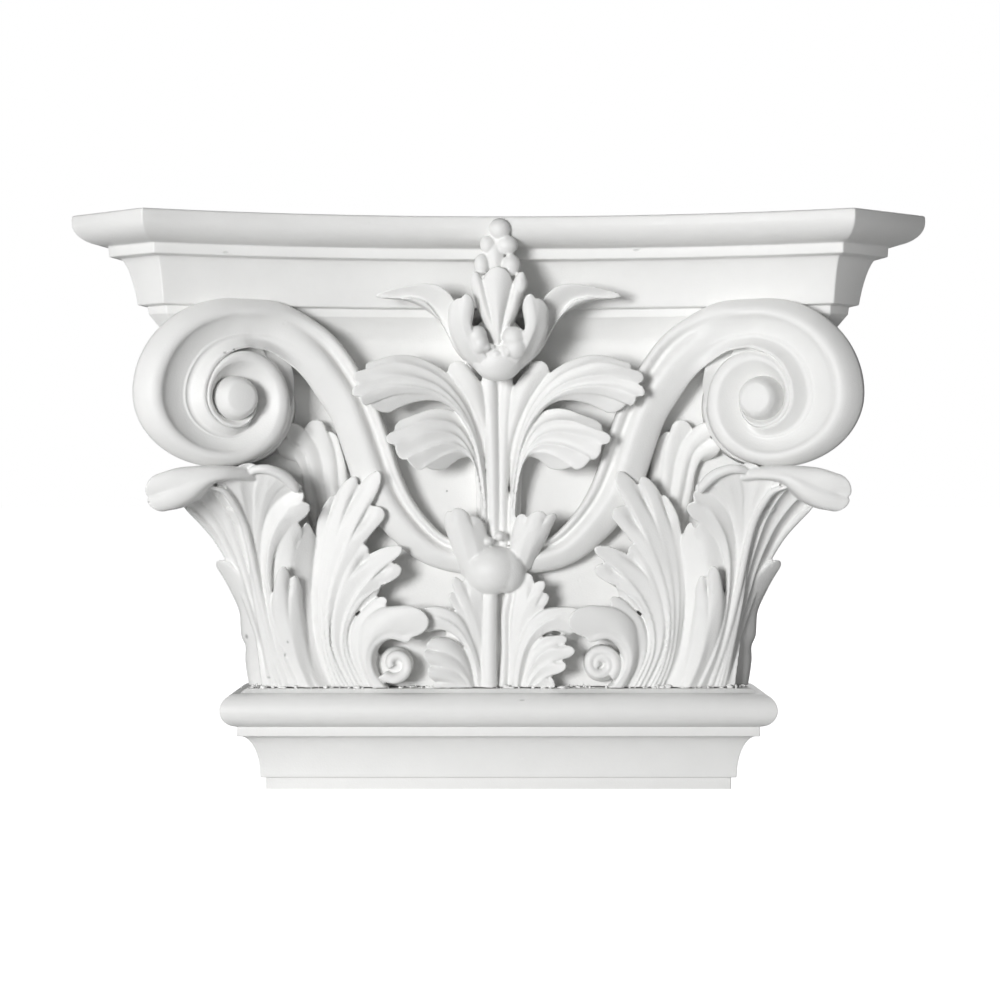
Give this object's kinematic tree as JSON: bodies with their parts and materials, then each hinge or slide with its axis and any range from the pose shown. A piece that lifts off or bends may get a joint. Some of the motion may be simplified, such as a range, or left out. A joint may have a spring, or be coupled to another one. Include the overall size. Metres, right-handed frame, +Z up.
{
  "type": "pilaster capital",
  "caption": "Cast plaster pilaster capital with a hollow-fronted abacus, scroll volutes, acanthus leaves, fleuron and a separate neck moulding, flat at the back.",
  "frame": {"origin": "middle of the footprint, on the underside of the neck moulding", "axes": "+X to the right seen from the front, -Y out of the wall towards the viewer, +Z up"},
  "size_m": [0.356, 0.13, 0.2428],
  "materials": {
    "plaster": "cast gypsum plaster, white, semi-matte with a faint satin on the high points",
    "neck_plaster": "cast gypsum plaster, white, semi-matte"
  },
  "bodies": {
    "root": {"capital": "plaster", "neck_moulding": "neck_plaster"}
  },
  "joints": []
}
